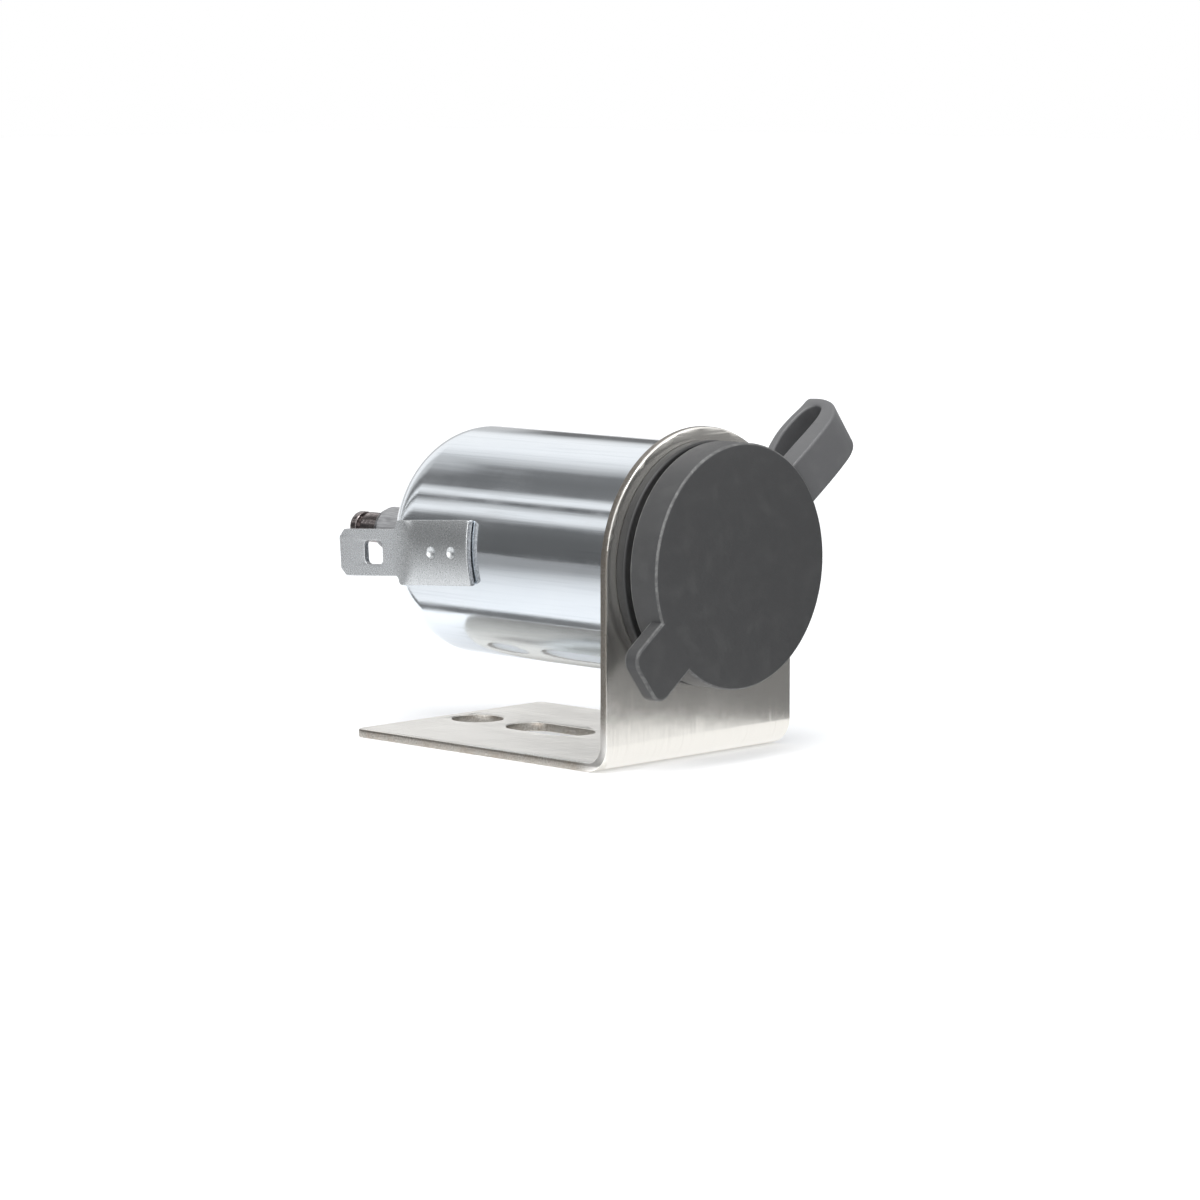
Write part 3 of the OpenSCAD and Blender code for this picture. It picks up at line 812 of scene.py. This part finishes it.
def make_terminal(face, edge):
    """Ground terminal cut as a flat sheet, divided finely at its welds and bend, and wrapped."""
    bm = sheet_mesh(terminal_pattern(), BLADE_T, TERMINAL_BEVEL)
    wide = FOOT_W / 2
    round_weld, fine = 1.1, 0.11
    for mark in WELDS:
        cut_lines(bm, 0, steps_between(mark - round_weld, mark + round_weld, fine))
    cut_lines(bm, 1, steps_between(-round_weld, round_weld, fine))
    bend = steps_between(8.2, FOOT_L, 0.35)
    cut_lines(bm, 0, [0.6, 1.2, 4.3, 4.9, 5.5, *bend, 16, 19, 22])
    lower, upper = steps_between(-wide + 0.3, -1.4, 0.5), steps_between(1.4, wide - 0.3, 0.5)
    cut_lines(bm, 1, lower + upper)
    for side in bm.faces:
        side.material_index = 1 if abs(side.normal.z) < 0.5 else 0
    for vertex in bm.verts:
        vertex.co = wrap_terminal(vertex.co)
    piece = finish_piece("blade_stamped", bm, Matrix.Identity(4), [face, edge], sharp=50)
    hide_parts("ground_terminal")
    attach(piece, "housing")


# Rubber strap and cap

# Outer and inner outline of the folded strap, as points (u, s) that lie opposite each other:
# u runs outwards from the socket's axis, in the strap's own direction.
STRAP_OUTER = (
    (15.2, 0.0), (17.8, 0.0), (19.6, -0.55), (22.2, -1.05), (25.0, -1.0), (27.4, -0.6),
    (29.0, -0.42), (29.33, 0.35), (29.33, 2.3), (28.75, 4.1), (27.5, 5.5), (25.8, 6.25),
    (23.4, 6.48), (20.0, 6.48), (15.6, 6.3)
)
STRAP_INNER = (
    (15.2, 1.5), (17.8, 1.35), (19.6, 0.7), (22.2, 0.15), (25.0, 0.2), (26.8, 0.6),
    (27.55, 1.15), (27.85, 1.8), (27.75, 2.5), (27.4, 3.05), (26.6, 3.4), (25.2, 3.6),
    (22.8, 3.55), (19.6, 3.35), (15.6, 3.15)
)
STRAP_STEPS = 10
STRAP_EDGE = 0.35


def smooth_path(points, steps):
    """Points of a smooth curve through the given ones, with steps between each pair."""
    path = [Vector(p) for p in points]
    result = []
    for i in range(len(path) - 1):
        before, here = path[max(i - 1, 0)], path[i]
        there, after = path[i + 1], path[min(i + 2, len(path) - 1)]
        for k in range(steps):
            t = k / steps
            result.append(0.5 * (
                2 * here + (there - before) * t
                + (2 * before - 5 * here + 4 * there - after) * t * t
                + (3 * here - before - 3 * there + after) * t ** 3
            ))
    return result + [path[-1]]


def section(outer, inner):
    """Points round the strap's section between two opposite points, with rounded corners."""
    thickness = (outer - inner).length
    across = (outer - inner).normalized()
    corners = rounded([
        (w * STRAP_W / 2, thickness * (t > 0), STRAP_EDGE) for w, t in SQUARE
    ], steps=4)
    points = []
    for w, t in corners:
        place = inner + across * t
        points.append(Vector((place.x, w, place.y)))
    return points


def make_strap(material):
    """Strap folded from the ring to the cap, which bends at the end of its loop."""
    outer = smooth_path(STRAP_OUTER, STRAP_STEPS)
    inner = smooth_path(STRAP_INNER, STRAP_STEPS)
    bm = bmesh.new()
    rings = [[bm.verts.new(p) for p in section(o, i)] for o, i in zip(outer, inner)]
    skin(bm, rings, closed=False)
    piece = finish_piece("strap_moulded", bm, STRAP_FRAME, [material], sharp=60)
    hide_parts("cap_strap")
    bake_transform(piece)


CAP_EDGE = 0.35
TAB_REACH, TAB_W, TAB_T, TAB_CORNER = 6.4, 8.3, 2.3, 2.0
# The tab's sheet starts inside the disc, at this share of its radius.
TAB_ROOT = 0.6
PLUG_R = SEAT_R - 0.1
PLUG_EDGE = 0.35
# A face is part of a rounded edge, paler from wear and a painted highlight, where the share of
# its normal along the axis is between these.
WORN_SHEEN_SHARES = (0.15, 0.97)


def cap_profile():
    """Disc of the cap, with rounded edges, and the hollow plug behind it."""
    plug_end = WELL_FRONT - PLUG_L
    plug_tip, hollow = PLUG_R - PLUG_DRAFT, PLUG_R - PLUG_WALL
    front = arc(RING_R - CAP_EDGE, CAP_FACE - CAP_EDGE, CAP_EDGE, 90, 0, 4)
    back = arc(RING_R - CAP_EDGE, WELL_FRONT + CAP_EDGE, CAP_EDGE, 0, -90, 4)
    return [
        (0, CAP_FACE), *front, *back, (PLUG_R, WELL_FRONT),
        (plug_tip + 0.04, plug_end + PLUG_EDGE), (plug_tip - 0.07, plug_end + 0.1),
        (plug_tip - PLUG_EDGE, plug_end), (plug_tip - PLUG_WALL + 0.25, plug_end),
        (plug_tip - PLUG_WALL, plug_end + 0.25), (hollow, WELL_FRONT), (0, WELL_FRONT)
    ]


def tab_outline():
    """Outline of the pull tab, from inside the disc to its rounded end."""
    root, end, half = RING_R * TAB_ROOT, RING_R + TAB_REACH, TAB_W / 2
    return rounded([
        (root, -half, 0), (end, -half, TAB_CORNER), (end, half, TAB_CORNER), (root, half, 0)
    ], steps=8)


def make_cap(material, worn_and_sheen):
    """Cap with its pull tab, joined into one moulding."""
    slots = [material, worn_and_sheen]
    disc = finish_piece("cap_disc", lathe_mesh(cap_profile(), segments=180), Matrix.Identity(4),
                        slots, smooth=False)
    place = Matrix.Rotation(radians(STRAP_TURN + 180), 4, "Z")
    place = place @ Matrix.Translation((0, 0, CAP_FACE - TAB_T))
    tab = finish_piece("cap_tab", sheet_mesh([tab_outline()], TAB_T, CAP_EDGE), place, slots,
                       smooth=False)
    join = disc.modifiers.new("join", "BOOLEAN")
    join.operation = "UNION"
    join.solver = "EXACT"
    join.object = tab
    joined = evaluated_copy(disc)
    bpy.data.objects.remove(tab)
    bmesh.ops.transform(joined, matrix=Matrix.Scale(1 / MM, 4), verts=joined.verts)
    # Rounded edges take the paler rubber: wear, and a painted highlight along them.
    least, most = WORN_SHEEN_SHARES
    for side in joined.faces:
        side.material_index = 1 if least < abs(side.normal.z) < most else 0
    piece = finish_piece("cap_moulded", joined, ON_AXIS, slots, sharp=40)
    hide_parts("dust_cap")
    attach(piece, "cap")


# Studio

FLOOR_HALF = 3.0
# Cards stand for the photographer's studio, which the bright metal mirrors, and two paint the
# floor: a painted shadow of the base, and painted light over the part's shadow in front. Only
# reflections show them. This is the grey of the tall card behind the part, which the shell's
# round side reflects, for each turn round the socket's axis in degrees from +X.
CARD_GREYS = (
    (0, 1.0), (9, 1.0), (12, 0.2), (27, 0.18), (35, 0.75), (43, 1.0), (70, 1.0), (80, 0.85),
    (90, 0.5), (96, 0.21), (108, 0.18), (121, 0.2), (126, 0.9), (130, 1.0), (131.5, 0.7),
    (133, 0.12), (136, 0.12), (138.5, 0.6), (144, 1.0), (148, 0.85), (151, 0.4), (154, 0.165),
    (165, 0.13), (188, 0.115), (200, 0.2), (330, 1.0), (360, 1.0)
)
CARD_BACK, CARD_HALF = 0.30, 0.90
# The cards on the floor lie a little above it.
CARD_LIFT = 0.0004
# Direction of the photograph's line of sight over the floor
SIGHT_X, SIGHT_Y = 0.714, 0.69
UPRIGHT_AWAY, UPRIGHT_HALF, UPRIGHT_HIGH = 0.030, 0.11, 0.10
LAMPS = {
    "key": ((-0.25, -0.20, 0.75), (0.5, 0.5), 4.6),
    "side": ((-0.75, -0.30, 0.35), (0.4, 0.5), 1.5),
    "front": ((0.35, -0.75, 0.45), (0.5, 0.5), 1.0),
}
LAMP_AIM = (0, -0.02, 0.02)


def make_studio():
    """A pale floor, a white surround, grey cards for the metal and three soft lamps."""
    bpy.context.scene.view_settings.view_transform = "Standard"
    make_world()
    make_floor()
    make_back_card()
    make_low_cards()
    make_front_cards()
    for name, (place, size, power) in LAMPS.items():
        lamp(name, place, size, power)


def make_world():
    """White where it is seen or reflected, and a weaker, cooler light on the part."""
    world = bpy.data.worlds.new("studio")
    bpy.context.scene.world = world
    world.use_nodes = True
    tree = world.node_tree
    tree.nodes.clear()
    output = tree.nodes.new("ShaderNodeOutputWorld")
    shader = tree.nodes.new("ShaderNodeMixShader")
    tree.links.new(shader.outputs[0], output.inputs["Surface"])
    tree.links.new(seen_rays(tree), shader.inputs["Fac"])
    for socket, tint, strength in ((1, (0.93, 0.96, 1.0), 0.55), (2, (1, 1, 1), 1.0)):
        light = tree.nodes.new("ShaderNodeBackground")
        light.inputs["Color"].default_value = colour(tint)
        light.inputs["Strength"].default_value = strength
        tree.links.new(light.outputs[0], shader.inputs[socket])


def seen_rays(tree):
    """One for the rays that show the background: camera, glossy and transmission rays."""
    rays = tree.nodes.new("ShaderNodeLightPath")
    result = rays.outputs["Is Camera Ray"]
    for name in ("Is Glossy Ray", "Is Transmission Ray"):
        either = tree.nodes.new("ShaderNodeMath")
        either.operation = "MAXIMUM"
        tree.links.new(result, either.inputs[0])
        tree.links.new(rays.outputs[name], either.inputs[1])
        result = either.outputs[0]
    return result


def stage_mesh(name, corners, material):
    """A flat stage object from its corners, in metres."""
    bm = bmesh.new()
    bm.faces.new([bm.verts.new(corner) for corner in corners])
    mesh = bpy.data.meshes.new(name)
    bm.to_mesh(mesh)
    bm.free()
    mesh.materials.append(material)
    piece = bpy.data.objects.new(name, mesh)
    bpy.context.scene.collection.objects.link(piece)
    return piece


def make_floor():
    """Pale floor: it takes the shadow, and glows a little more where the lamps fade with
    distance."""
    g = Graph("floor")
    g.set(Base_Color=(0.8, 0.8, 0.8, 1), Roughness=0.8, Specular_IOR_Level=0.1)
    glow = g.math("MULTIPLY", seen_rays(g.tree), g.ramp(g.distance(), 120, 600, 0.3, 0.62))
    g.set(Emission_Color=(1, 1, 1, 1), Emission_Strength=glow)
    corners = [(x * FLOOR_HALF, y * FLOOR_HALF, 0) for x, y in SQUARE]
    stage_mesh("floor", corners, g.material)


def card_graph(name, grey):
    """Material of a card: an even grey glow that takes no light."""
    g = Graph(name)
    g.set(Base_Color=(0, 0, 0, 1), Roughness=1.0, Specular_IOR_Level=0.0)
    g.set(Emission_Color=(1, 1, 1, 1), Emission_Strength=grey)
    return g


def make_card(name, corners, material):
    """A card that only reflections show."""
    card = stage_mesh(name, corners, material)
    card.visible_camera = False
    card.visible_diffuse = False
    card.visible_transmission = False
    card.visible_shadow = False


def make_back_card():
    """Tall card behind the part, whose grey turns round the socket's axis."""
    g = card_graph("card_back", 1.0)
    left = g.math("MULTIPLY", g.axis("X"), -1.0)
    down = g.math("SUBTRACT", AXIS_Z, g.axis("Z"))
    turn = g.math("ADD", g.math("ARCTAN2", down, left), pi)
    tones = g.tree.nodes.new("ShaderNodeValToRGB")
    g.link(g.math("DIVIDE", turn, 2 * pi), tones.inputs["Fac"])
    stops = tones.color_ramp.elements
    while len(stops) < len(CARD_GREYS):
        stops.new(0.99)
    for stop, (degrees_round, grey) in zip(stops, CARD_GREYS):
        stop.position = degrees_round / 360
        stop.color = (grey, grey, grey, 1)
    # The shell's rear end reflects the card nearest to the axis, where the upper band fades.
    squares = [g.math("MULTIPLY", side, side) for side in (left, down)]
    reach = g.math("SQRT", g.math("ADD", *squares))
    upper = g.ramp(turn, radians(120), radians(94))
    fading = g.math("MULTIPLY", g.ramp(reach, 292, 268, 0, 0.6), upper)
    g.set(Emission_Strength=g.math("MAXIMUM", tones.outputs["Color"], fading))
    y = PLATE_Y * MM + CARD_BACK
    sides = [(-1, 0), (1, 0), (1, 1), (-1, 1)]
    make_card("card_back", [(x * CARD_HALF, y, z * CARD_HALF) for x, z in sides], g.material)


def make_floor_card(name, near, far, height, material):
    """A card that lies level between two opposite corners, in metres."""
    (x0, y0), (x1, y1) = near, far
    make_card(name, [(x0, y0, height), (x1, y0, height), (x1, y1, height), (x0, y1, height)],
              material)


def make_low_cards():
    """Cards on the floor at the shell's left: one whose grey grows with the distance from the
    part, and a narrow dark one beside the base, a painted shadow of the base in reflections."""
    beside = -ARCH_R * MM - 0.0002
    g = card_graph("card_low", 0.27)
    g.set(Alpha=g.ramp(g.distance(), 0, 140, 0.15, 0.92))
    make_floor_card("card_low", (-0.9, -0.04), (beside, 0.25), CARD_LIFT, g.material)
    # Painted shadow: a dark strip beside the base's left edge, which the shell reflects.
    g = card_graph("card_painted_shadow", 0.2)
    g.set(Alpha=g.ramp(g.axis("X"), -23.0, -20.5))
    make_floor_card("card_painted_shadow", (-0.023, -0.0415), (beside, 0.04), 2 * CARD_LIFT, g.material)


def make_front_cards():
    """An upright card in front on the right, which the bracket's face and the cap reflect, and
    a white one on the floor between it and the bracket, which paints light over the floor's
    shadow where the fold reflects it. The upright one fades out upwards, where the open cap
    crosses it."""
    g = card_graph("card_upright", 0.16)
    g.set(Alpha=g.ramp(g.axis("Z"), 56, 38))
    middle = Vector((SIGHT_X * UPRIGHT_AWAY, PLATE_Y * MM - SIGHT_Y * UPRIGHT_AWAY, 0))
    across = Vector((SIGHT_Y, SIGHT_X, 0)) * UPRIGHT_HALF
    up = Vector((0, 0, UPRIGHT_HIGH))
    corners = [middle - across, middle + across, middle + across + up, middle - across + up]
    make_card("card_upright", corners, g.material)
    # Painted light: a white card over the floor's shadow in front, which the fold reflects.
    g = card_graph("card_painted_light", 1.0)
    y = (PLATE_Y + 2.0) * MM
    right, left = middle + across * 0.3, middle - across * 0.4
    places = [(-0.016, y), (0.018, y), (right.x, right.y), (left.x, left.y)]
    make_card("card_painted_light", [(x, y, CARD_LIFT) for x, y in places], g.material)


def lamp(name, place, size, power):
    """A rectangular soft lamp aimed at the part. Places are in metres."""
    data = bpy.data.lights.new(name, "AREA")
    data.shape = "RECTANGLE"
    data.size, data.size_y = size
    data.energy = power
    light = bpy.data.objects.new(name, data)
    light.location = place
    light.rotation_mode = "QUATERNION"
    light.rotation_quaternion = (Vector(LAMP_AIM) - light.location).to_track_quat("-Z", "Y")
    bpy.context.scene.collection.objects.link(light)


# The part

make_camera()
make_studio()
MATERIALS = {
    "rubber": rubber_material(),
    # Paler rubber for the cap's rounded edges: wear, and a painted highlight along them.
    "rubber_worn_sheen": rubber_material("rubber_worn_sheen", wear_and_sheen=0.42),
    # Darker rubber for the ring: painted shade in the gap between the bracket and the cap.
    "rubber_painted_shade": rubber_material("rubber_painted_shade", painted_tone=0.5),
    # Paler rubber for the strap, the same moulding as the cap: painted light, with a smoother
    # gloss.
    "rubber_painted_light": rubber_material("rubber_painted_light", gloss=0.1, painted_tone=2.2),
    "zinc": zinc_material(),
    "bracket": bracket_material(),
    "edge": sheared_material(),
    "dull": dull_material(),
    "dull_edge": metal_material("dull_edge", (0.20, 0.20, 0.205), (0.48, 0.49, 0.50), 0.4,
                                scale=5.0, depth=0.02),
    "nickel": metal_material("well_nickel", (0.52, 0.51, 0.49), (0.72, 0.71, 0.69), 0.2,
                             stretch=(1, 8, 1)),
    "hardware": metal_material("hardware_zinc", (0.46, 0.47, 0.48), (0.70, 0.71, 0.72), 0.3),
    "spring": metal_material("spring_steel", (0.22, 0.22, 0.23), (0.42, 0.42, 0.43), 0.32),
    "brass": metal_material("dark_brass", (0.17, 0.15, 0.15), (0.38, 0.34, 0.335), 0.2),
    "laminate": plastic_material("brown_laminate", (0.15, 0.07, 0.035), (0.26, 0.13, 0.065), 0.5,
                                 stretch=(6, 1, 1)),
    "plastic": plastic_material("grey_plastic", (0.20, 0.20, 0.204), (0.34, 0.34, 0.345), 0.42,
                                stretch=(1, 8, 1)),
}
make_bracket(MATERIALS["bracket"], MATERIALS["edge"])
make_turned(MATERIALS)
make_nut(MATERIALS["hardware"])
make_terminal(MATERIALS["dull"], MATERIALS["dull_edge"])
make_strap(MATERIALS["rubber_painted_light"])
make_cap(MATERIALS["rubber"], MATERIALS["rubber_worn_sheen"])
